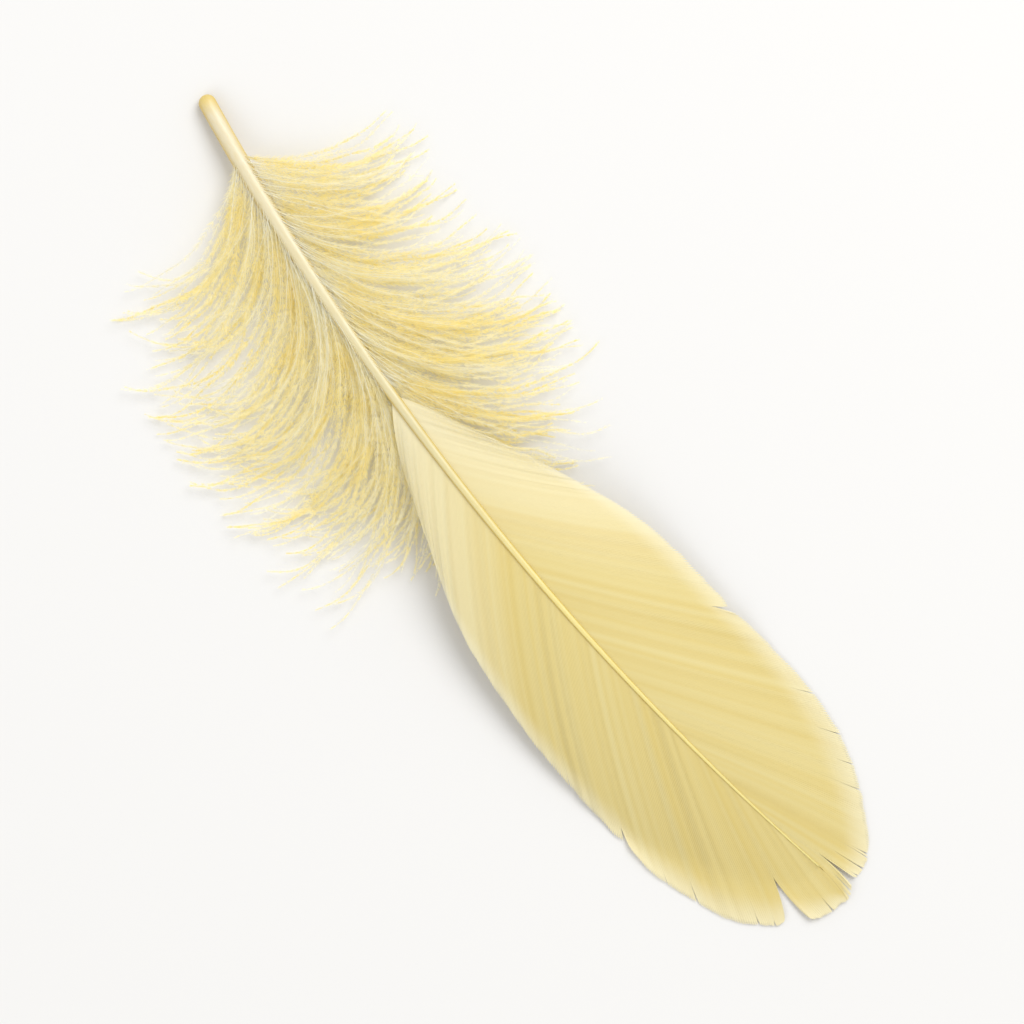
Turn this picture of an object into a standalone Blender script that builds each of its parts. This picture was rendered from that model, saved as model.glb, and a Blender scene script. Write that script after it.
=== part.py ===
# A goose feather dyed pale yellow, lying with its outer side up.
# It has a bare quill, a fan of down on both sides of the lower shaft,
# and a broad vane with two splits at its tip.
# It grew as one piece, so the shaft, the vane and the locks of down are joined into one solid.
# +Y runs along the feather from the quill's end to the tip, and +Z is up.
import math
import random

import bmesh
import bpy
from mathutils import Vector

MM = 0.001

# The shaft, seen from above: it bows towards +X, and its thin end turns towards -X
SHAFT_LENGTH = 128 * MM
SHAFT_BOW = 5.5 * MM
SHAFT_END_X = -3.2 * MM
QUILL_RADIUS = 1.15 * MM
RACHIS_END_RADIUS = 0.38 * MM
SHAFT_TAPER = [1.0, 1.0, 0.83, 0.64, 0.5, 0.4, 0.32, 0.25, 0.2, 0.17]  # shares of the quill's radius
SHAFT_POINTS = 26
SHAFT_SIDES = 10

# The shaft, seen from the side: an arch that stands on the quill's end and on the tip of the vane
SHAFT_START_Z = 0.93 * MM
SHAFT_ARCH = 6.6 * MM
SHAFT_TIP_Z = 0.5 * MM

# The vane
VANE_START = 47 * MM
VANE_THICKNESS = 0.6 * MM
VANE_CAMBER = 17.0  # drop in metres for each square metre of distance from the shaft
BARB_ROWS = 42
BARB_STEPS = 7
ROW_SPACING = 0.75  # below 1, the rows lie further apart towards the tip
FIRST_BARB_REACH = 0.12  # where the lowest barbs end, as a share of the outline's length
BARB_CROWDING = 1.65
BARB_ROOT_ANGLE = math.radians(36)
EDGE_RAGGEDNESS = 0.35 * MM

# Each half's outline from above, from the shaft to the tip: x, y in millimetres
OUTLINE_PLUS_X = [
    (3.6, 47), (8.2, 54), (12.2, 65), (15.4, 76), (16.4, 88),
    (16.2, 101), (14.6, 114.5), (11.4, 124.6), (6.4, 130.4), (1.4, 133.2), (-3.5, 133.6),
]
OUTLINE_MINUS_X = [
    (3.6, 47), (-1.8, 56), (-7.6, 67.5), (-12.2, 79), (-14.4, 92.5),
    (-16.2, 108), (-14.8, 119), (-12, 126), (-8.6, 130.8), (-3.5, 133.6),
]

# Splits: each one's half of the vane, the share of the barbs before it,
# where along the barb it opens, and how far it gapes
SPLITS = [
    {"side": 1, "at": 0.78, "from": 0.7, "gape": 0.016},
    {"side": -1, "at": 0.88, "from": 0.55, "gape": 0.012},
    {"side": -1, "at": 0.33, "from": 0.9, "gape": 0.006},
    {"side": 1, "at": 0.45, "from": 0.92, "gape": 0.005},
]
SPLIT_SPREAD = 0.06

# The locks of down: stations along the downy stretch, from the quill to the vane
DOWN_START = 10.5 * MM
DOWN_END = 49 * MM
LOCKS_A_SIDE = 20
LOCK_POINTS = 11
LOCK_SIDES = 6
LOCK_HALF_WIDTH = 1.25 * MM
LOCK_FLATNESS = 0.5
LOCK_GIRTH = [0.4, 0.75, 1.0, 0.95, 0.7, 0.2]  # from its root to its end, as shares of the half width
LOCK_LIFT = 1.7 * MM
LENGTH_VARIATION = 0.13
ANGLE_VARIATION = 7  # degrees

# The locks on each half: lengths in millimetres, angles from the shaft in degrees,
# and how late a lock turns, where 1 is evenly along it
DOWN = {
    1: {
        "length": [24, 39, 37, 21],
        "leaves_at": [34, 14, 10, 8],
        "ends_at": [100, 136, 122, 52],
        "curl": 1.8,
    },
    -1: {
        "length": [20, 31, 33, 23],
        "leaves_at": [44, 26, 19, 14],
        "ends_at": [94, 92, 78, 42],
        "curl": 1.2,
    },
}


def between(values, share):
    """The value at a share of the way through evenly spaced stations."""
    place = max(0.0, min(1.0, share)) * (len(values) - 1)
    low = min(int(place), len(values) - 2)
    return values[low] + (values[low + 1] - values[low]) * (place - low)


def shaft_point(y):
    """The shaft's centre line at a distance y along the feather."""
    share = y / SHAFT_LENGTH
    bow = 4 * share * (1 - share)
    x = SHAFT_BOW * bow + SHAFT_END_X * share
    z = SHAFT_START_Z + SHAFT_ARCH * bow + (SHAFT_TIP_Z - SHAFT_START_Z) * share
    return Vector((x, y, z))


def shaft_heading(y):
    """The shaft's direction seen from above, as an angle from +Y towards +X."""
    share = y / SHAFT_LENGTH
    return math.atan((SHAFT_BOW * 4 * (1 - 2 * share) + SHAFT_END_X) / SHAFT_LENGTH)


def shaft_radius(y):
    """Full at the quill, round at its end, and tapering evenly along the rachis."""
    taper = between(SHAFT_TAPER, y / SHAFT_LENGTH)
    end = min(1.0, math.sqrt(max(0.0, 1 - (1 - min(1.0, y / QUILL_RADIUS)) ** 2)) + 0.25)
    return max(RACHIS_END_RADIUS, QUILL_RADIUS * taper * end)


def smooth_curve_point(points, share):
    """A point at a share of the smooth curve through the points, in metres."""
    ends = [2 * points[0] - points[1], *points, 2 * points[-1] - points[-2]]
    place = max(0.0, min(1.0, share)) * (len(points) - 1)
    low = min(int(place), len(points) - 2)
    f = place - low
    a, b, c, d = ends[low : low + 4]
    return 0.5 * (2 * b + (c - a) * f + (2 * a - 5 * b + 4 * c - d) * f**2 + (3 * b - a - 3 * c + d) * f**3)


def outline_by_length(points, share, steps=200):
    """A point at a share of the outline's length."""
    places = [smooth_curve_point(points, n / steps) for n in range(steps + 1)]
    total = [0.0]
    for one, two in zip(places, places[1:]):
        total.append(total[-1] + (two - one).length)
    target = max(0.0, min(1.0, share)) * total[-1]
    n = next((i for i in range(1, steps + 1) if total[i] >= target), steps)
    part = (target - total[n - 1]) / (total[n] - total[n - 1])
    return places[n - 1].lerp(places[n], part)


OUTLINES = {
    1: [Vector((x * MM, y * MM)) for x, y in OUTLINE_PLUS_X],
    -1: [Vector((x * MM, y * MM)) for x, y in OUTLINE_MINUS_X],
}


def outline_share(side, barb, along):
    """Where a barb's tip lies on the outline, with the barbs beside a split turned away from it."""
    share = 1 - (1 - FIRST_BARB_REACH) * (1 - barb) ** BARB_CROWDING
    for split in SPLITS:
        if split["side"] != side:
            continue
        off = barb - split["at"]
        opening = max(0.0, (along - split["from"]) / (1 - split["from"]))
        opening *= min(1.0, (1 - barb) / SPLIT_SPREAD)
        share += math.copysign(split["gape"], off) * math.exp(-abs(off) / SPLIT_SPREAD) * opening
    return share


def vane_point(side, barb, along, ragged=0.0):
    """A point of the vane: barb is a share of the vane's length, and along one of that barb's length."""
    root_y = VANE_START + (SHAFT_LENGTH - VANE_START) * barb
    root = shaft_point(root_y).to_2d()
    tip = outline_by_length(OUTLINES[side], outline_share(side, barb, along))
    tip += (tip - root).normalized() * ragged
    span = (tip - root).length
    angle = shaft_heading(root_y) + side * BARB_ROOT_ANGLE * (1 - barb**3)
    bend = root + Vector((math.sin(angle), math.cos(angle))) * span * 0.5
    flat = root * (1 - along) ** 2 + bend * 2 * along * (1 - along) + tip * along**2
    return Vector((flat.x, flat.y, vane_height(flat.x, flat.y)))


def vane_height(x, y):
    """Height of the vane's middle surface: it falls away from the shaft, and lies flat on the ground."""
    on_shaft = shaft_point(min(y, SHAFT_LENGTH))
    away = x - on_shaft.x
    return max(VANE_THICKNESS / 2, on_shaft.z - VANE_CAMBER * away**2)


def barb_of_row(row):
    """The share of the vane's length at which a row of the mesh leaves the shaft."""
    return 1 - (1 - row / BARB_ROWS) ** ROW_SPACING


def is_open(side, row, along):
    """True for a cell of the mesh that a split leaves out: row is the number of the cell's lower edge."""
    for split in SPLITS:
        across = barb_of_row(row) <= split["at"] < barb_of_row(row + 1)
        if split["side"] == side and across and along > split["from"]:
            return True
    return False


def make_vane():
    """One thin sheet that crosses the shaft, with its mesh laid along the barbs."""
    ragged = random.Random(11)
    edge = {(1, BARB_ROWS): 0.0, (-1, BARB_ROWS): 0.0}
    for side in (1, -1):
        for row in range(BARB_ROWS):
            edge[side, row] = ragged.uniform(-1, 1) * EDGE_RAGGEDNESS
    grid = bmesh.new()
    bmesh.ops.create_grid(grid, x_segments=BARB_ROWS, y_segments=2 * BARB_STEPS, size=0.5)
    gone = []
    for face in grid.faces:
        centre = face.calc_center_median()
        if is_open(1 if centre.y > 0 else -1, int((centre.x + 0.5) * BARB_ROWS), abs(2 * centre.y)):
            gone.append(face)
    bmesh.ops.delete(grid, geom=gone, context="FACES")
    for vertex in grid.verts:
        side = 1 if vertex.co.y >= 0 else -1
        row = round((vertex.co.x + 0.5) * BARB_ROWS)
        along = abs(2 * vertex.co.y)
        vertex.co = vane_point(side, barb_of_row(row), along, edge[side, row] * along)
    bmesh.ops.remove_doubles(grid, verts=grid.verts, dist=0.00002)
    bmesh.ops.recalc_face_normals(grid, faces=grid.faces)
    mesh = bpy.data.meshes.new("feather")
    grid.to_mesh(mesh)
    grid.free()
    vane = bpy.data.objects.new("feather", mesh)
    thickness = vane.modifiers.new("thickness", "SOLIDIFY")
    thickness.thickness = VANE_THICKNESS
    thickness.offset = 0
    return vane


def section(name, half_width, half_height, sides):
    """A closed profile curve for a tube's cross-section."""
    data = bpy.data.curves.new(name, "CURVE")
    data.dimensions = "2D"
    data.fill_mode = "NONE"
    ring = data.splines.new("POLY")
    ring.points.add(sides - 1)
    ring.use_cyclic_u = True
    for n, point in enumerate(ring.points):
        turn = 2 * math.pi * n / sides
        point.co = (half_width * math.cos(turn), half_height * math.sin(turn), 0, 1)
    profile = bpy.data.objects.new(name, data)
    profile.hide_render = True
    profile.display_type = "WIRE"
    bpy.context.scene.collection.objects.link(profile)
    return profile


def tube(name, points, radii, profile):
    """A tapered tube with welded caps, as a mesh, along the points. The radii scale the profile."""
    data = bpy.data.curves.new(name, "CURVE")
    data.dimensions = "3D"
    data.twist_mode = "Z_UP"
    data.bevel_mode = "OBJECT"
    data.bevel_object = profile
    data.use_fill_caps = True
    line = data.splines.new("POLY")
    line.points.add(len(points) - 1)
    for place, point, radius in zip(line.points, points, radii):
        place.co = (*point, 1)
        place.radius = radius
    curve = bpy.data.objects.new(name, data)
    bpy.context.scene.collection.objects.link(curve)
    bpy.context.view_layer.update()
    mesh = bpy.data.meshes.new_from_object(curve.evaluated_get(bpy.context.evaluated_depsgraph_get()))
    body = bmesh.new()
    body.from_mesh(mesh)
    bmesh.ops.remove_doubles(body, verts=body.verts, dist=0.000005)
    bmesh.ops.recalc_face_normals(body, faces=body.faces)
    body.to_mesh(mesh)
    body.free()
    piece = bpy.data.objects.new(name, mesh)
    piece.matrix_world = curve.matrix_world
    bpy.data.objects.remove(curve)
    piece.hide_render = True
    piece.display_type = "WIRE"
    return piece


def make_shaft():
    """The quill and the rachis, from the quill's rounded end to the hair-thin end in the vane."""
    profile = section("shaft_profile", 1, 1, SHAFT_SIDES)
    shares = [0, 0.002, 0.006] + [0.012 + 0.988 * n / (SHAFT_POINTS - 1) for n in range(SHAFT_POINTS)]
    places = [share * SHAFT_LENGTH for share in shares]
    return tube("shaft", [shaft_point(y) for y in places], [shaft_radius(y) for y in places], profile)


def lock_line(side, share, upper, chance):
    """The centre line of a lock of down: along the shaft at first, and then curling outwards and down."""
    shape = DOWN[side]
    root_y = DOWN_START + (DOWN_END - DOWN_START) * share
    length = between(shape["length"], share) * (1 + chance.uniform(-1, 1) * LENGTH_VARIATION) * MM
    leaves_at = math.radians(between(shape["leaves_at"], share))
    ends_at = math.radians(between(shape["ends_at"], share) + chance.uniform(-1, 1) * ANGLE_VARIATION)
    start = shaft_point(root_y)
    end_z = LOCK_HALF_WIDTH * LOCK_FLATNESS + (LOCK_LIFT if upper else 0.0)
    place = start.copy()
    line = []
    for n in range(LOCK_POINTS):
        f = n / (LOCK_POINTS - 1)
        lift = 4 * f * (1 - f) * LOCK_LIFT * (0.6 if upper else -0.3)
        place.z = start.z + (end_z - start.z) * f**0.8 + lift
        line.append(place.copy())
        turned = (f + 0.5 / LOCK_POINTS) ** shape["curl"]
        turn = shaft_heading(root_y) + side * (leaves_at + (ends_at - leaves_at) * turned)
        place += Vector((math.sin(turn), math.cos(turn), 0)) * length / (LOCK_POINTS - 1)
    return line


def make_locks():
    """Locks on both sides, every other one lying higher."""
    profile = section("lock_profile", LOCK_HALF_WIDTH, LOCK_HALF_WIDTH * LOCK_FLATNESS, LOCK_SIDES)
    chance = random.Random(5)
    locks = []
    for side in (1, -1):
        for n in range(LOCKS_A_SIDE):
            line = lock_line(side, n / (LOCKS_A_SIDE - 1), n % 2 == 1, chance)
            girth = [between(LOCK_GIRTH, i / (LOCK_POINTS - 1)) for i in range(LOCK_POINTS)]
            name = f"lock_{'plus' if side > 0 else 'minus'}_{n + 1}"
            locks.append(tube(name, line, girth, profile))
    return locks


def feather_material():
    """Keratin dyed pale yellow, with a dull sheen."""
    material = bpy.data.materials.new("pale_yellow_feather")
    material.use_nodes = True
    shader = material.node_tree.nodes["Principled BSDF"]
    shader.inputs["Base Color"].default_value = (0.83, 0.69, 0.34, 1)
    shader.inputs["Roughness"].default_value = 0.6
    shader.inputs["Metallic"].default_value = 0.0
    return material


def signed_volume(faces):
    """Positive for a closed skin whose faces point outwards, and negative for the wall of a sealed gap."""
    return sum(face.calc_center_median().dot(face.normal) * face.calc_area() / 3 for face in faces)


def connected(start, seen):
    """The faces that can be reached from one face across shared edges."""
    found = [start]
    seen.add(start)
    for face in found:
        for edge in face.edges:
            for other in edge.link_faces:
                if other not in seen:
                    seen.add(other)
                    found.append(other)
    return found


def join_into(vane, collection):
    """Unites the vane with the shaft and the locks, and fills the sealed gaps that crossing locks leave."""
    union = vane.modifiers.new("grown together", "BOOLEAN")
    union.operation = "UNION"
    union.solver = "EXACT"
    union.operand_type = "COLLECTION"
    union.collection = collection
    bpy.context.view_layer.update()
    mesh = bpy.data.meshes.new_from_object(vane.evaluated_get(bpy.context.evaluated_depsgraph_get()))
    solid = bmesh.new()
    solid.from_mesh(mesh)
    seen = set()
    skins = [connected(face, seen) for face in solid.faces if face not in seen]
    gaps = [face for skin in skins if signed_volume(skin) < 0 for face in skin]
    bmesh.ops.delete(solid, geom=gaps, context="FACES")
    corners = [vertex.co for vertex in solid.verts if vertex.link_faces]
    low = Vector([min(c[axis] for c in corners) for axis in range(3)])
    high = Vector([max(c[axis] for c in corners) for axis in range(3)])
    centre_of_footprint = Vector(((low.x + high.x) / 2, (low.y + high.y) / 2, low.z))
    bmesh.ops.translate(solid, verts=solid.verts, vec=-centre_of_footprint)
    solid.to_mesh(mesh)
    solid.free()
    vane.modifiers.clear()
    vane.data = mesh


def main():
    for old in list(bpy.data.objects):
        bpy.data.objects.remove(old)
    feather_parts = bpy.data.collections.new("feather")
    joined = bpy.data.collections.new("joined_into_feather")
    for collection in (feather_parts, joined):
        bpy.context.scene.collection.children.link(collection)
    vane = make_vane()
    vane.data.materials.append(feather_material())
    feather_parts.objects.link(vane)
    for piece in [make_shaft(), *make_locks()]:
        joined.objects.link(piece)
    join_into(vane, joined)


main()
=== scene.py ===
import math
import random

import bmesh
import bpy
import numpy as np
from mathutils import Matrix, Vector


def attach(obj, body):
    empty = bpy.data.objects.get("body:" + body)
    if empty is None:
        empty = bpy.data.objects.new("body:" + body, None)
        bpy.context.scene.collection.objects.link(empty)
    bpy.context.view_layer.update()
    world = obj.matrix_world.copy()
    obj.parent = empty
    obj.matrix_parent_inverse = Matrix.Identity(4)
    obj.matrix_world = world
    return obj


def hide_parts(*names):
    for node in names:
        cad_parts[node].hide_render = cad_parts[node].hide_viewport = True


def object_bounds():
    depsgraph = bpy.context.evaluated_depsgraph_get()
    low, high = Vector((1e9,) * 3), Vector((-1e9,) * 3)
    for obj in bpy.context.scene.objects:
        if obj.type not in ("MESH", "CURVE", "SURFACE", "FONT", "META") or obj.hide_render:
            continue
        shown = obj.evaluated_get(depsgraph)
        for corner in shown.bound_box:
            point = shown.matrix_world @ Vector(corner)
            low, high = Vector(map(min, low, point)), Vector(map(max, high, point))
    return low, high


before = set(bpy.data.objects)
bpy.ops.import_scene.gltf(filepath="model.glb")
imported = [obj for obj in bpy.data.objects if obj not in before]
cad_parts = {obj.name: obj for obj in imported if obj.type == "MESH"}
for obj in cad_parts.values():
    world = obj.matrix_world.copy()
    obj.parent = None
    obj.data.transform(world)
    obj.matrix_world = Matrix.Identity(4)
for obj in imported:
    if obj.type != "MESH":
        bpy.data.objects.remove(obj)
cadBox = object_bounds()
mm = 0.001

# The feather's own form, in millimetres: y runs along it from the quill's end, and x 0 is the quill's end too
form = {
    "shaftLength": 128.0,
    "shaftBow": 5.5,
    "shaftEndX": -3.2,
    "startZ": 0.93,
    "arch": 6.6,
    "tipZ": 0.5,
    "quillRadius": 1.15,
    "bareQuill": 9.0,
    "taper": [1.0, 1.0, 0.83, 0.64, 0.5, 0.4, 0.32, 0.25, 0.17, 0.1],  # of the radius, evenly spaced along it
}


def linearColour(hexCode):
    # sRGB hex to the linear values that shaders take
    values = [int(hexCode[i : i + 2], 16) / 255 for i in (1, 3, 5)]
    return tuple(v / 12.92 if v <= 0.04045 else ((v + 0.055) / 1.055) ** 2.4 for v in values) + (1.0,)


def addNode(tree, kind, settings=None, links=None):
    # One node, its properties or inputs set by name, and its inputs linked to other nodes' outputs
    node = tree.nodes.new(kind)
    for key, value in (settings or {}).items():
        if key in node.inputs:
            node.inputs[key].default_value = value
        else:
            setattr(node, key, value)
    for key, source in (links or {}).items():
        tree.links.new(source, node.inputs[key])
    return node


def newMaterial(name):
    material = bpy.data.materials.new(name)
    material.use_nodes = True
    material.node_tree.nodes.clear()
    return material, material.node_tree


def thinSurface(tree, colour, settings, throughLight):
    # A surface so thin that a share of the light goes through it
    shader = addNode(tree, "ShaderNodeBsdfPrincipled", settings, {"Base Color": colour})
    through = addNode(tree, "ShaderNodeBsdfTranslucent", links={"Color": colour})
    both = addNode(tree, "ShaderNodeMixShader", links={1: shader.outputs[0], 2: through.outputs[0]})
    both.inputs[0].default_value = throughLight
    addNode(tree, "ShaderNodeOutputMaterial", links={"Surface": both.outputs[0]})


def shaftX(y):
    share = y / form["shaftLength"]
    return form["shaftBow"] * 4 * share * (1 - share) + form["shaftEndX"] * share


def shaftZ(y):
    share = np.minimum(y, form["shaftLength"]) / form["shaftLength"]
    level = form["startZ"] + form["arch"] * 4 * share * (1 - share)
    return level + (form["tipZ"] - form["startZ"]) * share


def shaftHeading(y):
    share = y / form["shaftLength"]
    return np.arctan((form["shaftBow"] * 4 * (1 - 2 * share) + form["shaftEndX"]) / form["shaftLength"])


def between(values, share):
    return np.interp(share, np.linspace(0, 1, len(values)), values)


def shaftRadius(y):
    end = np.sqrt(np.clip(1 - (1 - np.minimum(1, y / form["quillRadius"])) ** 2, 0, 1))
    return form["quillRadius"] * between(form["taper"], y / form["shaftLength"]) * end


def placeOnFrame():
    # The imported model's bare quill gives the shift from the feather's own form, and both touch the ground
    points = np.array([v.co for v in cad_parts["feather"].data.vertices]) / mm
    start = points[:, 1].min()
    quill = points[points[:, 1] < start + form["bareQuill"]]
    return np.array([(quill[:, 0] - shaftX(quill[:, 1] - start)).mean(), start, 0.0])


shift = placeOnFrame()


def smoothRandom(chance, count, spread):
    # A wandering line with a standard deviation of 1
    reach = int(4 * spread)
    kernel = np.exp(-0.5 * (np.arange(-reach, reach + 1) / spread) ** 2)
    line = np.convolve(chance.normal(size=count + 2 * reach), kernel, mode="valid")
    return (line - line.mean()) / line.std()


def wandering(chance, count, spreadAndSize):
    # One value for each barb, which changes over so many barbs and by so much
    spread, size = spreadAndSize
    return smoothRandom(chance, count, spread)[:, None] * size


def unit(vectors):
    return vectors / np.maximum(np.linalg.norm(vectors, axis=-1, keepdims=True), 1e-9)


def joinedMesh(name, points, faces, attributes):
    # points (n, 3) in the feather's own millimetres, faces (m, 3) or (m, 4), and one value a point by name
    mesh = bpy.data.meshes.new(name)
    mesh.vertices.add(len(points))
    mesh.vertices.foreach_set("co", ((points + shift) * mm).astype(np.float32).ravel())
    corners = faces.shape[1]
    mesh.loops.add(faces.size)
    mesh.loops.foreach_set("vertex_index", faces.astype(np.int32).ravel())
    mesh.polygons.add(len(faces))
    mesh.polygons.foreach_set("loop_start", np.arange(0, faces.size, corners, dtype=np.int32))
    mesh.update(calc_edges=True)
    mesh.shade_smooth()
    for key, values in attributes.items():
        layer = mesh.attributes.new(key, "FLOAT", "POINT")
        layer.data.foreach_set("value", values.astype(np.float32))
    return mesh


def topViewMap(mesh):
    # A map that looks straight down: a pattern that changes across the feather bakes through it as it shows
    margin = 0.01
    low, high = np.array(cadBox[0]), np.array(cadBox[1])
    span = (high - low)[:2].max() * (1 + 4 * margin)
    places = np.zeros(len(mesh.vertices) * 3, np.float32)
    mesh.vertices.foreach_get("co", places)
    flat = (places.reshape(-1, 3)[:, :2] - low[:2]) / span + margin
    corners = np.zeros(len(mesh.loops), np.int32)
    mesh.loops.foreach_get("vertex_index", corners)
    layer = mesh.uv_layers.new(name="OFBake")
    layer.data.foreach_set("uv", flat[corners].astype(np.float32).ravel())


def addPiece(name, mesh, material):
    topViewMap(mesh)
    mesh.materials.append(material)
    piece = bpy.data.objects.new(name, mesh)
    bpy.context.scene.collection.objects.link(piece)
    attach(piece, "root")
    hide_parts("feather")
    mesh.calc_loop_triangles()
    print(name, "triangles:", len(mesh.loop_triangles))


# Quill and rachis, in millimetres
shaft = {
    "stations": 230,
    "around": 20,
    "closeTo": 0.1,  # this first share of the stations lies closer together, for the rounded end
    "closeness": 1.6,
    "tipRadius": 0.02,
    "weldWithin": 0.004,
    "rachisFrom": 8.0,  # where the round quill starts to change to the rachis, which is flat on top
    "rachisOver": 14.0,
    "groove": 0.16,  # depth below the rachis, as a share of the radius
    "grooveWidth": 0.32,
    "flatTop": 0.1,
    "flatWidth": 0.5,
    # painted shade: down the tube's turn from here, its flanks and underside are coloured deeper than its top
    "flankFrom": 0.82,
    "flankOver": 0.5,
    "flankPaintedShade": 0.8,
    "colours": [  # each from this share of its length
        (0.0, "#D6BC62"), (0.024, "#D9CFB2"), (0.4, "#CFC59A"), (0.62, "#DFD088"),
    ],
    # the colour of the grooves' streaks and of the painted shade on the flanks and underside
    "deepColour": "#D0B149",
    "roughness": 0.34,
    "scatter": 0.25,
    "scatterDepth": 0.9,
    "scatterByColour": (0.8, 0.75, 0.55),
    "fineGrooves": 5200.0,  # to a metre, or 0.19 mm apart: coarser than real ones, which are too fine to show
    "fineGrooveStretch": 0.06,
    "fineGrooveDepth": 0.08,
    "fineGrooveDye": 0.25,
}


def shaftMaterial():
    # Keratin, grown as a hollow horny tube and dyed: pale cream and a little see-through at the quill,
    # yellower and satin along the rachis, with fine grooves along it and deeper dye at its end. Its flanks
    # and
    # underside carry painted shade: a deeper colour there and a paler top, standing in for how light falls on
    # the tube
    material, tree = newMaterial("dyedKeratinShaft")
    place = addNode(tree, "ShaderNodeAttribute", {"attribute_name": "along"})
    flank = addNode(tree, "ShaderNodeAttribute", {"attribute_name": "flank"})
    own = addNode(tree, "ShaderNodeTexCoord")
    stretched = (1, shaft["fineGrooveStretch"], 1)
    scaled = addNode(tree, "ShaderNodeMapping", {"Scale": stretched}, {"Vector": own.outputs["Object"]})
    grooves = addNode(
        tree, "ShaderNodeTexNoise", {"Scale": shaft["fineGrooves"], "Detail": 3.0},
        {"Vector": scaled.outputs[0]},
    )
    quillToRachis = addNode(tree, "ShaderNodeValToRGB", links={"Fac": place.outputs["Fac"]})
    stops = quillToRachis.color_ramp.elements
    for position, colour in shaft["colours"][1:-1]:
        stops.new(position)
    for stop, (position, colour) in zip(stops, shaft["colours"]):
        stop.position = position
        stop.color = linearColour(colour)
    strength = addNode(
        tree, "ShaderNodeMapRange",
        {"From Min": 0.35, "From Max": 0.8, "To Min": 0.0, "To Max": shaft["fineGrooveDye"]},
        {"Value": grooves.outputs["Fac"]},
    )
    # the grooves' streaks plus the painted shade on the flanks and underside
    flankShadeAndGrooveStreaks = addNode(
        tree, "ShaderNodeMath", {"operation": "ADD", "use_clamp": True},
        {0: strength.outputs[0], 1: flank.outputs["Fac"]},
    )
    streaks = addNode(  # inputs 6 and 7 are the two colours
        tree, "ShaderNodeMix", {"data_type": "RGBA"},
        {0: flankShadeAndGrooveStreaks.outputs[0], 6: quillToRachis.outputs["Color"]},
    )
    streaks.inputs[7].default_value = linearColour(shaft["deepColour"])
    bump = addNode(
        tree, "ShaderNodeBump", {"Strength": 0.25, "Distance": shaft["fineGrooveDepth"] * mm},
        {"Height": grooves.outputs["Fac"]},
    )
    shader = addNode(
        tree, "ShaderNodeBsdfPrincipled",
        {
            "Roughness": shaft["roughness"], "IOR": 1.54, "Subsurface Weight": shaft["scatter"],
            "Subsurface Scale": shaft["scatterDepth"] * mm, "Subsurface Radius": shaft["scatterByColour"],
        },
        {"Base Color": streaks.outputs[2], "Normal": bump.outputs[0]},
    )
    addNode(tree, "ShaderNodeOutputMaterial", links={"Surface": shader.outputs[0]})
    return material


def stationPlace(share):
    close, power = shaft["closeTo"], shaft["closeness"]
    place = share**power if share < close else share - close + close**power
    return form["shaftLength"] * place / (1 - close + close**power)


def risen(value, start, over):
    # 0 up to the start, and 1 from so far beyond it
    return min(1.0, max(0.0, (value - start) / over))


def makeShaft():
    # A flat grid is wound into a tube: its long way becomes the shaft's length, its short way the turn round
    solid = bmesh.new()
    bmesh.ops.create_grid(solid, x_segments=shaft["stations"], y_segments=shaft["around"], size=0.5)
    along = solid.verts.layers.float.new("along")
    flank = solid.verts.layers.float.new("flank")
    for vertex in solid.verts:
        turn = 2 * math.pi * (vertex.co.y + 0.5)
        y = stationPlace(vertex.co.x + 0.5)
        radius = max(shaft["tipRadius"], float(shaftRadius(y)))
        rachis = risen(y, shaft["rachisFrom"], shaft["rachisOver"])
        side, up = math.cos(turn), math.sin(turn)
        groove = shaft["groove"] * rachis * math.exp(-((side / shaft["grooveWidth"]) ** 2)) * max(0.0, -up)
        flat = shaft["flatTop"] * rachis * math.exp(-((side / shaft["flatWidth"]) ** 2)) * max(0.0, up)
        reach = radius * (1 - groove - flat)
        heading = float(shaftHeading(y))
        x = float(shaftX(y)) + reach * side * math.cos(heading)
        vertex[along] = y / form["shaftLength"]
        # painted shade: the flanks and underside are coloured deeper than the top
        vertex[flank] = shaft["flankPaintedShade"] * risen(-up, -shaft["flankFrom"], shaft["flankOver"])
        vertex.co = Vector((x, y - reach * side * math.sin(heading), float(shaftZ(y)) + reach * up))
    bmesh.ops.remove_doubles(solid, verts=solid.verts, dist=shaft["weldWithin"])
    ends = [edge for edge in solid.edges if edge.is_boundary]
    bmesh.ops.holes_fill(solid, edges=ends, sides=0)
    bmesh.ops.recalc_face_normals(solid, faces=solid.faces)
    for face in solid.faces:
        face.smooth = True
    bmesh.ops.translate(solid, verts=solid.verts, vec=Vector(shift))
    bmesh.ops.scale(solid, verts=solid.verts, vec=Vector((mm, mm, mm)))
    mesh = bpy.data.meshes.new("shaft")
    solid.to_mesh(mesh)
    solid.free()
    addPiece("shaft", mesh, shaftMaterial())


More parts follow.
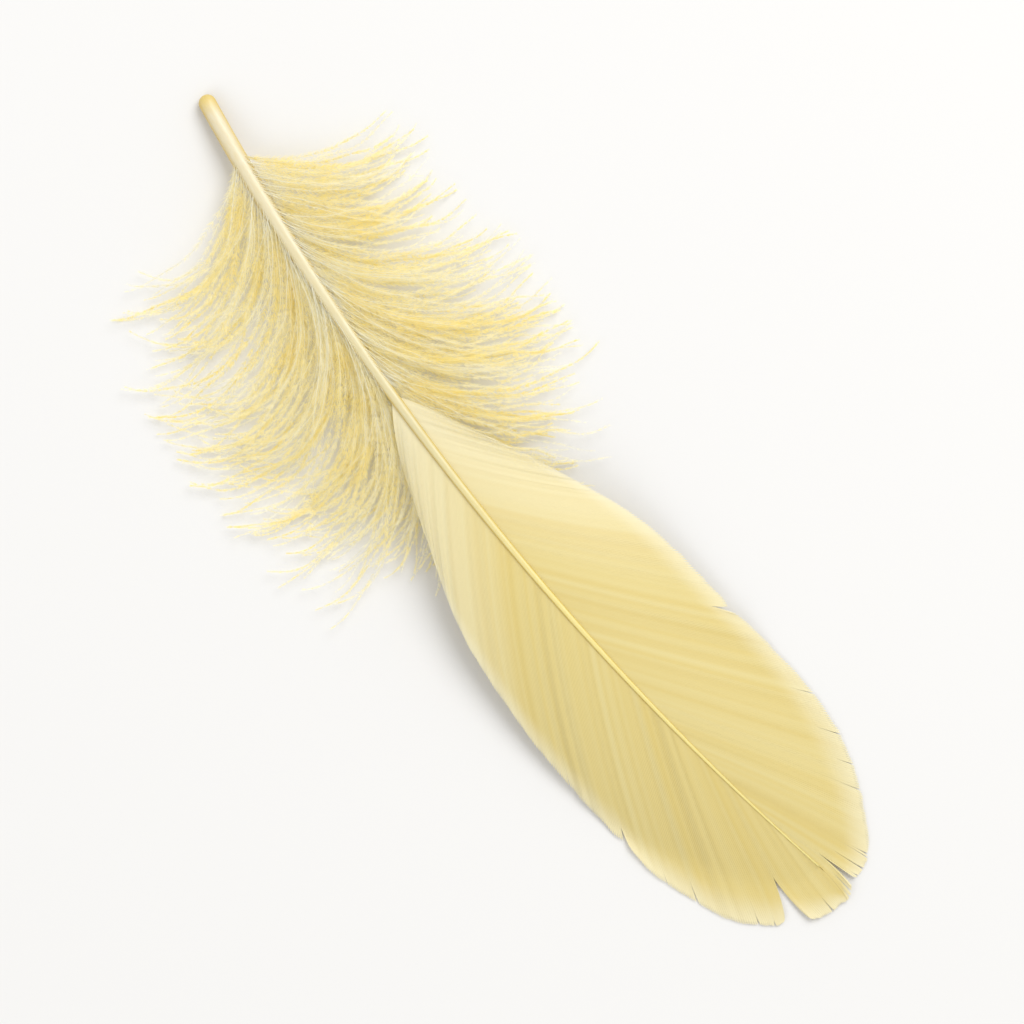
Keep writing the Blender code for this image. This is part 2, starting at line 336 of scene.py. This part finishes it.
# Both halves of the vane: one ribbon for each barb, lapped over the next. The barbs are somewhat fewer and
# wider than real ones, and the barbules that zip them are too fine to draw.
# Sizes are in millimetres, and a barb's place is a share, from 0 at the vane's start to 1 at the tip.
# The narrow half is side 1, and the broad half side -1
vane = {
    "seed": 21,
    "start": 46.0,
    "barbs": 232,
    "steps": 34,
    "stepCrowding": 0.9,
    "rowSpacing": 0.75,
    "firstReach": 0.12,
    "crowding": 1.65,
    "rootAngle": 36.0,
    "camber": 0.017,
    "lap": [-0.54, -0.2, 0.0, 0.22, 0.62],  # places across a ribbon, as shares of the barbs' spacing
    "ridge": [-0.014, 0.002, 0.011, 0.005, -0.002],  # heights at those places
    "tapersOver": 0.03,
    "endWidth": 0.4,
    "splits": {  # each with its place, how far out it starts as a share of the barb, and how wide it gapes
        1: [(0.78, 0.7, 0.016), (0.45, 0.92, 0.005)],
        -1: [(0.88, 0.55, 0.006), (0.33, 0.9, 0.006)],
    },
    "seams": {  # the same, for splits that have closed again
        1: [(0.7, 0.8, 0.001)],
        -1: [(0.8, 0.72, 0.0012), (0.84, 0.62, 0.0016), (0.915, 0.6, 0.0022), (0.95, 0.66, 0.0018)],
    },
    "smallSplits": 6,
    "smallSplitPlace": (0.04, 0.97),
    "smallSplitFrom": (0.76, 0.94),
    "smallSplitGape": (0.0006, 0.0018),
    "wideGape": 0.004,  # a split that gapes more pushes more barbs aside
    "splitSpread": 0.06,
    "seamSpread": 0.012,
    "splitLift": (0.12, 0.55),  # of the barbs before it and after it
    "splitLiftSpread": 0.05,
    "cornerRound": 0.9,
    "cornerSpread": 0.012,
    "cornerGape": 0.008,
    "unzippedTo": 0.15,
    "unzippedThinning": 0.66,
    "restHeight": 0.3,
    "restOver": 0.3,
    "sink": 0.02,
    "lowest": 0.12,
    "wander": {  # over how many barbs and by how much
        "edgeFine": (1.2, 0.07),
        "edgeBroad": (9, 0.16),
        "tips": (5, 0.0011),
        "unzippedTips": (0.8, 0.0013),
        "rippleBroad": (8, 0.03),
        "rippleFine": (1.5, 0.004),
        "unzippedHeight": (0.8, 0.18),
        "tilt": (1.0, 0.012),
        "toneFine": (1.0, 0.11),
        "toneBroad": (9, 0.045),
    },
    "outline": {
        1: [
            (3.6, 47), (8.2, 54), (12.2, 65), (15.4, 76), (16.4, 88),
            (16.2, 101), (14.6, 114.5), (11.4, 124.6), (6.4, 130.4), (1.4, 133.2), (-3.5, 133.6),
        ],
        -1: [
            (3.6, 47), (-1.8, 56), (-7.6, 67.5), (-12.2, 79), (-14.4, 92.5),
            (-16.2, 108), (-14.8, 119), (-12, 126), (-8.6, 130.8), (-3.5, 133.6),
        ],
    },
    "colour": "#DED093",
    "deepColour": "#D6BE69",
    "paleColour": "#ECE5C4",
    "tone": 0.55,
    # paler base and rim: where the barbs thin out, and partly painted light for the edges' sheen and the
    # base's shade
    "baseTo": 0.3,
    "basePaler": 0.8,
    "rimFrom": 0.81,
    "rimPaler": 0.62,
    "roughness": 0.5,
    "throughLight": 0.16,
}


def outlineTable(points):
    # The outline as a smooth curve (Catmull-Rom), and its length up to each place on it
    first, last = 2 * np.array(points[0]) - points[1], 2 * np.array(points[-1]) - points[-2]
    knots = np.array([first, *points, last], float)
    places = []
    for a, b, c, d in zip(knots, knots[1:], knots[2:], knots[3:]):
        f = np.linspace(0, 1, 40, endpoint=False)[:, None]
        curve = 2 * b + (c - a) * f + (2 * a - 5 * b + 4 * c - d) * f**2 + (3 * b - a - 3 * c + d) * f**3
        places.append(0.5 * curve)
    line = np.vstack([*places, knots[-2:-1]])
    length = np.concatenate([[0], np.cumsum(np.linalg.norm(np.diff(line, axis=0), axis=1))])
    return length / length[-1], line


def splitOpening(along, opensFrom):
    return np.clip((along - opensFrom) / (1 - opensFrom), 0, 1)


def barbLines(side, barb, along, splits, ragged, wander):
    # Plan places (barbs, steps, 2) of the barbs' ribs
    share = 1 - (1 - vane["firstReach"]) * (1 - barb) ** vane["crowding"] + wander * along**2
    beforeTip = np.minimum(1, (1 - barb) / vane["splitSpread"])
    for at, opensFrom, gape in splits:
        off = barb - at
        spread = vane["splitSpread"] if gape > vane["wideGape"] else vane["seamSpread"]
        aside = np.sign(off) * gape * np.exp(-np.abs(off) / spread)
        share = share + aside * splitOpening(along, opensFrom) * beforeTip
    lengths, line = outlineTable(vane["outline"][side])
    tip = np.stack([np.interp(share, lengths, line[:, axis]) for axis in (0, 1)], axis=-1)
    rootY = vane["start"] + (form["shaftLength"] - vane["start"]) * barb
    root = np.stack([shaftX(rootY), rootY], axis=-1) + 0 * tip
    tip = tip + unit(tip - root) * (ragged * along)[..., None]
    span = np.linalg.norm(tip - root, axis=-1, keepdims=True)
    angle = shaftHeading(rootY) + side * math.radians(vane["rootAngle"]) * (1 - barb**3)
    bend = root + np.stack([np.sin(angle), np.cos(angle)], axis=-1) * span * 0.5
    t = along[..., None]
    return root * (1 - t) ** 2 + bend * 2 * t * (1 - t) + tip * t**2


def vaneMaterial():
    # Goose vane: keratin barbs, grown zipped together by fine barbules and then dyed. It looks satin, a
    # little see-through, with faint streaks from barb to barb, and paler at its base and its rim, where the
    # barbs thin out. Those paler bands are partly painted light: the rim also stands in for a sheen along the
    # edges and for shade nearer the shaft, and the base also lifts the shade that the camber and the down
    # cast there
    material, tree = newMaterial("dyedZippedVane")
    tone = addNode(tree, "ShaderNodeAttribute", {"attribute_name": "tone"})
    pale = addNode(tree, "ShaderNodeAttribute", {"attribute_name": "pale"})
    streaks = addNode(tree, "ShaderNodeMix", {"data_type": "RGBA"}, {0: tone.outputs["Fac"]})
    streaks.inputs[6].default_value = linearColour(vane["deepColour"])
    streaks.inputs[7].default_value = linearColour(vane["colour"])
    colour = addNode(
        tree, "ShaderNodeMix", {"data_type": "RGBA"}, {0: pale.outputs["Fac"], 6: streaks.outputs[2]}
    )
    colour.inputs[7].default_value = linearColour(vane["paleColour"])
    satin = {"Roughness": vane["roughness"], "IOR": 1.54, "Sheen Weight": 0.15, "Sheen Roughness": 0.4}
    thinSurface(tree, colour.outputs[2], satin, vane["throughLight"])
    return material


def vaneHeights(side, barb, along, flat, unzipped, chance):
    # The vane curves down from the shaft and comes to rest just over the ground. It ripples a little, and the
    # barbs beside a split stand up from each other
    count, wander = vane["barbs"], vane["wander"]
    away = flat[..., 0] - shaftX(np.minimum(flat[..., 1], form["shaftLength"]))
    free = shaftZ(flat[..., 1]) - vane["camber"] * away**2
    rest = vane["restHeight"]
    height = 0.5 * (free + rest + np.sqrt((free - rest) ** 2 + vane["restOver"] ** 2)) - vane["sink"]
    ripple = wandering(chance, count, wander["rippleBroad"]) + wandering(chance, count, wander["rippleFine"])
    loose = wandering(chance, count, wander["unzippedHeight"]) * unzipped
    height = height + ripple * along**1.5 + loose * along
    before, after = vane["splitLift"]
    for at, opensFrom, gape in vane["splits"][side]:
        off = barb - at
        lift = np.where(off > 0, after, before) * np.exp(-np.abs(off) / vane["splitLiftSpread"])
        height = height + lift * splitOpening(along, opensFrom) ** 1.5
    return np.maximum(height, vane["lowest"])


def makeVaneHalf(name, side, material, chance):
    count, steps, wander = vane["barbs"], vane["steps"], vane["wander"]
    barb = (1 - (1 - np.arange(count) / (count - 1)) ** vane["rowSpacing"])[:, None]
    along = np.linspace(0, 1, steps)[None, :] ** vane["stepCrowding"]
    ragged = wandering(chance, count, wander["edgeFine"]) + wandering(chance, count, wander["edgeBroad"])
    for at, opensFrom, gape in vane["splits"][side]:
        corner = vane["cornerRound"] * min(1, gape / vane["cornerGape"])
        ragged -= corner * np.exp(-np.abs(barb - at) / vane["cornerSpread"])
    ragged[-3:] = 0  # the last barbs end at the tip itself
    unzipped = np.clip(1 - barb / vane["unzippedTo"], 0, 1)
    tips = wandering(chance, count, wander["tips"]) * np.minimum(1, (1 - barb) / 0.1)
    tips += wandering(chance, count, wander["unzippedTips"]) * unzipped
    small = [
        tuple(chance.uniform(*vane[key]) for key in ("smallSplitPlace", "smallSplitFrom", "smallSplitGape"))
        for n in range(vane["smallSplits"])
    ]
    every = vane["splits"][side] + vane["seams"][side] + small
    whole = barbLines(side, barb, along, [], ragged, tips)
    flat = barbLines(side, barb, along, every, ragged, tips)
    height = vaneHeights(side, barb, along, flat, unzipped, chance)

    # Each ribbon is as wide as the step to the next barb before any split opens
    line = np.concatenate([flat, height[..., None]], axis=-1)
    run = unit(np.gradient(line, axis=1))
    spread = np.concatenate([np.gradient(whole, axis=0), np.zeros_like(height)[..., None]], axis=-1)
    spread -= run * (spread * run).sum(-1, keepdims=True)
    normal = unit(np.cross(run, spread))
    normal *= np.sign(normal[..., 2:3])
    ending = np.clip((1 - along) / vane["tapersOver"], vane["endWidth"], 1)
    taper = (ending * (1 - vane["unzippedThinning"] * unzipped * along**0.6))[..., None]
    lift = np.gradient(height, axis=0)[..., None] * np.array([0, 0, 1.0])
    tilt = wandering(chance, count, wander["tilt"])[..., None]
    points = []
    for place, rise in zip(vane["lap"], vane["ridge"]):
        points.append(line + (spread + lift) * place * taper + normal * (rise + tilt * place))
    grid = np.stack(points, axis=2)
    wide = len(vane["lap"])
    index = np.arange(count * steps * wide).reshape(count, steps, wide)
    a, b = index[:, :-1, :-1], index[:, 1:, :-1]
    c, d = index[:, 1:, 1:], index[:, :-1, 1:]
    faces = np.stack([a, b, c, d] if side > 0 else [a, d, c, b], axis=-1).reshape(-1, 4)

    tone = wandering(chance, count, wander["toneFine"]) + wandering(chance, count, wander["toneBroad"])
    tone = np.clip(np.repeat(vane["tone"] + tone, steps * wide), 0, 1)
    # partly painted light: the paler rim also stands in for a sheen at the edges and for shade nearer the
    # shaft
    rim = np.clip((along - vane["rimFrom"]) / (1 - vane["rimFrom"]), 0, 1)
    rim = vane["rimPaler"] * rim**2 * (3 - 2 * rim)
    # partly painted light: the paler base also lifts the shade that the steep camber and the down cast there
    base = vane["basePaler"] * np.clip(1 - barb / vane["baseTo"], 0, 1)
    pale = np.broadcast_to((rim + base * (1 - rim))[..., None], (count, steps, wide)).ravel()
    addPiece(name, joinedMesh(name, grid.reshape(-1, 3), faces, {"tone": tone, "pale": pale}), material)


# The down: each barb is a fine rib with two rows of barbules. Sizes are in millimetres, angles in degrees.
# Ribs and barbules are drawn coarser than real ones, so that they show: a real rib is about 0.05 mm wide and
# a real barbule about 0.015 mm
down = {
    "lockSeed": 5,
    "start": 10.5,
    "end": 49.0,
    "pastEnds": 0.02,
    "locks": 20,
    "barbsInLock": 11,
    "steps": 40,
    "shape": {  # on each side: lengths, and angles from the shaft at root and end, evenly along the down
        1: {"length": [24, 39, 37, 21], "leaves": [34, 14, 10, 8], "ends": [100, 136, 122, 52], "curl": 1.8},
        -1: {"length": [20, 31, 33, 23], "leaves": [44, 26, 19, 14], "ends": [94, 92, 78, 42], "curl": 1.2},
    },
    "lockLength": 0.13,
    "lockAngle": 7.0,
    "barbLength": (0.72, 1.08),
    "curlVariation": 0.3,
    "waves": (1.5, 4),
    "sway": (5, 17),
    "rootPlace": (0.5, 0.9),  # how far out on the shaft's flank a barb is rooted, as a share of the radius
    "rootSunk": 0.95,  # a little under the shaft's surface
    "roomUsed": (0.93, 1.0),
    "endLow": 0.5,
    "liftLow": -0.6,
    "bobs": (1.5, 3.5),
    "bobSize": (0.1, 0.45),
    "heights": (0.35, 7.2),
    "looseShare": 0.18,  # of the barbs, which stray more than the rest
    "loose": {"leaves": 9, "ends": 26, "endHigh": 4.5, "liftHigh": 3.0},
    "kept": {"leaves": 4, "ends": 11, "endHigh": 2.8, "liftHigh": 1.7},
    "underVane": 0.8,
    "vaneOver": 4.0,
    "vaneLowest": 1.5,
    "ribRadius": 0.05,
    "ribEnd": 0.16,
    "ribPale": 0.8,
    # painted shade: ribs that lie low are coloured deeper, and those on top paler
    "ribPaintedShadeByLayer": 0.3,
    "groundGap": 0.04,
    "pastBox": (0.6, 0.0, 0.1),
    "ribColour": "#FFFDEE",
    "barbuleColour": "#FFF09E",
    "patches": 190.0,  # to a metre, or some 5 mm wide, as dye takes on down
    "patchStrength": 0.15,
    "roughness": 0.5,
    "throughLight": 0.5,
}

# Barbules of the down. "Layer" is -1 for barbs that lie low and 1 for those on top
barbule = {
    "every": 0.125,
    "from": 0.03,
    "crowding": 0.8,
    "number": (1.04, -0.22),  # its second value is for the layer, here and in widthByLayer
    "width": 0.028,
    "widthByLayer": (1.1, -0.4),
    "jointWidth": 0.8,
    "length": 1.15,
    "lengthRange": (0.6, 1.15),
    "shorterAtEnd": 0.66,
    "shorterAtRoot": 0.3,
    "growsBy": 7.0,
    "pitch": 30,
    "angle": (44, 9),
    "angleLess": 16,
    "bend": (4, 24),
    "roll": 0.25,
    "pale": 0.2,
    "paleAtEnd": 0.35,
    # painted light: barbules near the shaft are paler, lifting the shade that the shaft and the stacked barbs
    # cast
    "paintedLightAtRoot": 0.3,
    "rootOver": 0.16,
    # painted shade: barbules on low-lying barbs are coloured deeper yellow, and those on top paler
    "paintedShadeByLayer": 0.28,
    "paleVariation": 0.1,
}


def downMaterial():
    # Loose down, grown as hair-thin barbs with free barbules and then dyed: the ribs show as fine cream lines
    # over yellower barbules, light goes through it, and it looks deeper yellow where it lies thick. Part of
    # that is painted shade, with barbs that lie low coloured deeper yellow, and barbules near the shaft carry
    # painted light, a paler colour that lifts the shade there
    material, tree = newMaterial("dyedLooseDown")
    place = addNode(tree, "ShaderNodeTexCoord")
    pale = addNode(tree, "ShaderNodeAttribute", {"attribute_name": "pale"})
    patches = addNode(
        tree, "ShaderNodeTexNoise", {"Scale": down["patches"], "Detail": 2.0},
        {"Vector": place.outputs["Object"]},
    )
    strength = down["patchStrength"]
    dye = addNode(
        tree, "ShaderNodeMapRange",
        {"From Min": 0.35, "From Max": 0.65, "To Min": -strength, "To Max": strength},
        {"Value": patches.outputs["Fac"]},
    )
    share = addNode(
        tree, "ShaderNodeMath", {"operation": "ADD", "use_clamp": True},
        {0: dye.outputs[0], 1: pale.outputs["Fac"]},
    )
    colour = addNode(tree, "ShaderNodeMix", {"data_type": "RGBA"}, {0: share.outputs[0]})
    colour.inputs[6].default_value = linearColour(down["barbuleColour"])
    colour.inputs[7].default_value = linearColour(down["ribColour"])
    thinSurface(tree, colour.outputs[2], {"Roughness": down["roughness"], "IOR": 1.54}, down["throughLight"])
    return material


def belowVane(x, y):
    # How high the down may lie: where it runs along the vane's base, the vane covers it
    free = shaftZ(y) - vane["camber"] * (x - shaftX(y)) ** 2
    before = np.clip((vane["start"] - y) / down["vaneOver"], 0, 1)
    return np.maximum(down["vaneLowest"], free - down["underVane"] + before * down["vaneOver"])


def walked(steps):
    # Places reached from 0, one after each step
    return np.concatenate([[0], np.cumsum(steps)])


def downLine(side, share, longer, turned, chance):
    # Places (steps, 3) of one barb's rib
    shape = down["shape"][side]
    f = np.linspace(0, 1, down["steps"])
    rootY = down["start"] + (down["end"] - down["start"]) * share
    barb = down["loose"] if chance.random() < down["looseShare"] else down["kept"]
    length = between(shape["length"], share) * (1 + longer * down["lockLength"])
    length *= chance.uniform(*down["barbLength"])
    leaves = between(shape["leaves"], share) + chance.normal() * barb["leaves"]
    ends = between(shape["ends"], share) + turned * down["lockAngle"]
    ends += chance.normal() * barb["ends"]
    curl = shape["curl"] + chance.normal() * down["curlVariation"]
    turn = np.radians(leaves + (ends - leaves) * (f + 0.03) ** curl)
    waves = chance.uniform(*down["waves"])
    sway = math.radians(chance.uniform(*down["sway"])) * f**0.7
    sway = sway * np.sin(2 * math.pi * (f * waves + chance.random()))
    heading = shaftHeading(rootY) + side * (turn + sway)
    step = length / (down["steps"] - 1)
    radius = shaftRadius(rootY)
    flank = chance.uniform(*down["rootPlace"])
    x = shaftX(rootY) + side * radius * flank + walked(np.sin(heading[:-1])) * step
    y = rootY + walked(np.cos(heading[:-1])) * step

    # A barb that would reach past the solid's box is drawn in, whole
    edge = (cadBox[1][0] if side > 0 else cadBox[0][0]) / mm - shift[0]
    reach = max(1e-6, np.max(side * (x - x[0])))
    fits = min(1.0, abs(edge - x[0]) * chance.uniform(*down["roomUsed"]) / reach)
    x, y = x[0] + (x - x[0]) * fits, y[0] + (y - y[0]) * fits

    startZ = shaftZ(rootY) + radius * down["rootSunk"] * math.sqrt(1 - flank**2)
    endZ = chance.uniform(down["endLow"], barb["endHigh"])
    lift = chance.uniform(down["liftLow"], barb["liftHigh"])
    bobs = f * chance.uniform(*down["bobs"]) + chance.random()
    bob = chance.uniform(*down["bobSize"]) * f * np.sin(2 * math.pi * bobs)
    z = startZ + (endZ - startZ) * f**0.8 + 4 * f * (1 - f) * lift + bob
    z = np.minimum(z, belowVane(x, y))
    return np.stack([x, y, np.clip(z, *down["heights"])], axis=-1)


def downLines(side, lockDraws, chance):
    # Places (barbs, steps, 3) of the ribs of the down on one side, gathered into locks
    lines = []
    for n, (longer, turned) in enumerate(lockDraws):
        for m in range(down["barbsInLock"]):
            share = (n + (m + 0.5) / down["barbsInLock"] - 0.5) / (down["locks"] - 1)
            share = min(1 + down["pastEnds"], max(-down["pastEnds"], share))
            lines.append(downLine(side, share, longer, turned, chance))
    return np.array(lines)


def ribs(lines):
    # Three-sided tubes along the lines, one side up, thinning to their ends
    count, steps = lines.shape[:2]
    run = unit(np.gradient(lines, axis=1))
    sideways = unit(np.cross(run, np.array([0, 0, 1.0])))
    upward = np.cross(sideways, run)
    girth = down["ribRadius"] * np.linspace(1, down["ribEnd"], steps)[None, :, None]
    turns = [math.pi / 3, math.pi, 5 * math.pi / 3]
    corners = [lines + (sideways * math.sin(turn) + upward * math.cos(turn)) * girth for turn in turns]
    points = np.stack(corners, axis=2)
    index = np.arange(count * steps * 3).reshape(count, steps, 3)
    a, b = index[:, :-1], index[:, 1:]
    c, d = np.roll(b, -1, axis=2), np.roll(a, -1, axis=2)
    quads = np.stack([a, d, c, b], axis=-1).reshape(-1, 4)
    faces = np.vstack([quads[:, [0, 1, 2]], quads[:, [0, 2, 3]]])
    return points.reshape(-1, 3), faces


def layers(lines):
    # How high each rib lies against its neighbours, from -1 to 1
    heights = lines[..., 2].mean(axis=1)
    order = np.arange(len(heights))
    away = heights - np.polyval(np.polyfit(order, heights, 3), order)
    return np.clip(away / (1.5 * away.std()), -1, 1)


def barbuleRoots(lines, layer, chance):
    # Where the barbules on one side of each rib start, its direction there, how far along, and its layer
    steps = lines.shape[1]
    total = np.linalg.norm(np.diff(lines, axis=1), axis=2).sum(axis=1)
    run = unit(np.gradient(lines, axis=1))
    start = barbule["from"]
    even, byLayer = barbule["number"]
    roots, runs, shares, layerOf = [], [], [], []
    for n in range(len(lines)):
        number = max(4, int(total[n] * (1 - start) * (even + byLayer * layer[n]) / barbule["every"]))
        f = (start + (1 - start) * np.sort(chance.random(number)) ** barbule["crowding"]) * (steps - 1)
        low = np.minimum(f.astype(int), steps - 2)
        part = (f - low)[:, None]
        roots.append(lines[n, low] * (1 - part) + lines[n, low + 1] * part)
        runs.append(unit(run[n, low] * (1 - part) + run[n, low + 1] * part))
        shares.append(f / (steps - 1))
        layerOf.append(np.full(number, layer[n]))
    return np.vstack(roots), np.vstack(runs), np.concatenate(shares), np.concatenate(layerOf)


def barbules(lines, layer, chance):
    # Thin ribbons on both sides of each rib, each with one joint and a pointed end
    oneSide = barbuleRoots(lines, layer, chance)
    root, along, share, layer = (np.concatenate([v, v]) for v in oneSide)
    count = len(root)
    hand = np.concatenate([np.ones(count // 2), -np.ones(count // 2)])[:, None]
    sideways = unit(np.cross(along, np.array([0, 0, 1.0]))) * hand
    upward = unit(np.cross(sideways, along)) * hand
    pitch = np.radians(chance.normal(0, barbule["pitch"], count))[:, None]
    out = sideways * np.cos(pitch) + upward * np.sin(pitch)
    leaves = np.radians(chance.normal(*barbule["angle"], count) - barbule["angleLess"] * share)[:, None]
    ends = leaves - np.radians(chance.uniform(*barbule["bend"], count))[:, None]
    longest = np.minimum(
        1 - barbule["shorterAtEnd"] * share**1.3, barbule["shorterAtRoot"] + barbule["growsBy"] * share
    )
    reach = (barbule["length"] * longest * chance.uniform(*barbule["lengthRange"], count))[:, None]
    first = along * np.cos(leaves) + out * np.sin(leaves)
    second = along * np.cos(ends) + out * np.sin(ends)
    joint = root + first * reach * 0.5
    end = joint + second * reach * 0.5
    rolled = np.array([0, 0, 1.0]) + barbule["roll"] * chance.normal(size=(count, 3))
    even, byLayer = barbule["widthByLayer"]
    broad = unit(np.cross(first, rolled)) * (barbule["width"] / 2 * (even + byLayer * layer))[:, None]
    narrower = broad * barbule["jointWidth"]
    points = np.stack([root - broad, root + broad, joint - narrower, joint + narrower, end], axis=1)
    base = np.arange(count)[:, None] * 5
    faces = np.vstack([base + [0, 1, 3], base + [0, 3, 2], base + [2, 3, 4]])
    pale = barbule["paleAtEnd"] * share**1.5
    # painted light: paler near the shaft, lifting the shade that the shaft and the stacked barbs cast there
    pale = pale + barbule["paintedLightAtRoot"] * np.exp(-((share / barbule["rootOver"]) ** 2))
    # painted shade: barbules on low-lying barbs are coloured deeper, and those on top paler
    pale = barbule["pale"] + pale + barbule["paintedShadeByLayer"] * layer
    pale = pale + barbule["paleVariation"] * chance.normal(size=count)
    return points.reshape(-1, 3), faces, np.repeat(pale, 5)


def makeDown(name, lines, material, chance):
    layer = layers(lines)
    ribPoints, ribFaces = ribs(lines)
    finePoints, fineFaces, finePale = barbules(lines, layer, chance)
    points = np.vstack([ribPoints, finePoints])
    faces = np.vstack([ribFaces, fineFaces + len(ribPoints)])
    points[:, 2] = np.maximum(points[:, 2], down["groundGap"])
    low, high = (np.array(corner) / mm - shift for corner in cadBox)
    sideways = np.array(down["pastBox"]) * [1, 1, 0]  # none of it may pass below the ground
    points = np.clip(points, low - sideways, high + down["pastBox"])
    # painted shade: ribs that lie low are coloured deeper, and those on top paler
    ribPale = np.repeat(down["ribPale"] + down["ribPaintedShadeByLayer"] * layer, len(ribPoints) // len(lines))
    pale = np.concatenate([ribPale, finePale])
    addPiece(name, joinedMesh(name, points, faces, {"pale": pale}), material)


# Around it, in metres: a pale floor, soft light from the picture's top, and a camera that looks straight down
studio = {
    "floorSize": 6,
    "floorColour": "#DDDCDA",
    "frameWidth": 0.132,
    "lens": 150.0,
    "sensor": 36,
    "lean": 52.8,  # the feather runs down to the right in the picture, so many degrees below level
    "lights": {  # places are to the picture's right, to its top and above the feather
        "keyLight": {"place": (0.4, 0.6, 0.9), "size": 0.8, "power": 8.9},
        "fillLight": {"place": (-0.6, -0.6, 0.8), "size": 0.8, "power": 2.2},
    },
    "worldLight": 0.76,
}


def makeFloor():
    bpy.ops.mesh.primitive_plane_add(size=studio["floorSize"])
    floor = bpy.context.object
    floor.name = "floor"
    material, tree = newMaterial("paleFloor")
    matt = {"Base Color": linearColour(studio["floorColour"]), "Roughness": 0.9}
    shader = addNode(tree, "ShaderNodeBsdfPrincipled", matt)
    addNode(tree, "ShaderNodeOutputMaterial", links={"Surface": shader.outputs[0]})
    floor.data.materials.append(material)


def makeCamera(middle, right, up):
    camera = bpy.data.objects.new("camera", bpy.data.cameras.new("camera"))
    camera.data.lens = studio["lens"]
    camera.data.sensor_width = studio["sensor"]
    distance = studio["frameWidth"] * studio["lens"] / studio["sensor"]
    points = [v.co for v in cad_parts["feather"].data.vertices]
    aim = Vector((0, 0, middle.z))
    for axis in (right, up):
        reaches = [axis.dot(point) for point in points]
        aim += axis * (min(reaches) + max(reaches)) / 2
    turn = Matrix((right, up, Vector((0, 0, 1)))).transposed()
    camera.matrix_world = Matrix.Translation(aim + Vector((0, 0, distance))) @ turn.to_4x4()
    camera.data.clip_start, camera.data.clip_end = 0.05, 20
    bpy.context.scene.collection.objects.link(camera)
    bpy.context.scene.camera = camera


def makeLights(middle, right, up):
    for name, values in studio["lights"].items():
        toRight, toTop, above = values["place"]
        place = up * toTop + right * toRight + Vector((0, 0, above))
        light = bpy.data.objects.new(name, bpy.data.lights.new(name, "AREA"))
        light.data.shape = "DISK"
        light.data.size = values["size"]
        light.data.energy = values["power"]
        light.location = middle + place
        light.rotation_euler = (-place).to_track_quat("-Z", "Y").to_euler()
        bpy.context.scene.collection.objects.link(light)
    world = bpy.data.worlds.new("studio")
    world.use_nodes = True
    background = world.node_tree.nodes["Background"]
    background.inputs["Color"].default_value = (1, 1, 1, 1)
    background.inputs["Strength"].default_value = studio["worldLight"]
    bpy.context.scene.world = world
    bpy.context.scene.view_settings.view_transform = "Standard"


def makeStudio():
    low, high = (np.array(corner) for corner in cadBox)
    middle = Vector((low + high) / 2)
    lean = math.radians(studio["lean"])
    right = Vector((-math.sin(lean), math.cos(lean), 0))  # the picture's axes on the ground
    up = Vector((-math.cos(lean), -math.sin(lean), 0))
    makeFloor()
    makeCamera(middle, right, up)
    makeLights(middle, right, up)


def main():
    makeStudio()
    print("studio made")
    makeShaft()
    print("shaft made")
    chance = np.random.default_rng(vane["seed"])
    zipped = vaneMaterial()
    makeVaneHalf("vane_narrow_half", 1, zipped, chance)
    makeVaneHalf("vane_broad_half", -1, zipped, chance)
    print("vane made")
    lockChance = random.Random(down["lockSeed"])
    loose = downMaterial()
    for side, name in ((1, "narrow_side"), (-1, "broad_side")):
        draws = [(lockChance.uniform(-1, 1), lockChance.uniform(-1, 1)) for n in range(down["locks"])]
        lines = downLines(side, draws, chance)
        half = len(lines) // 2
        makeDown(f"down_{name}_lower", lines[:half], loose, chance)
        makeDown(f"down_{name}_upper", lines[half:], loose, chance)
    print("down made")


main()
bpy.context.view_layer.update()
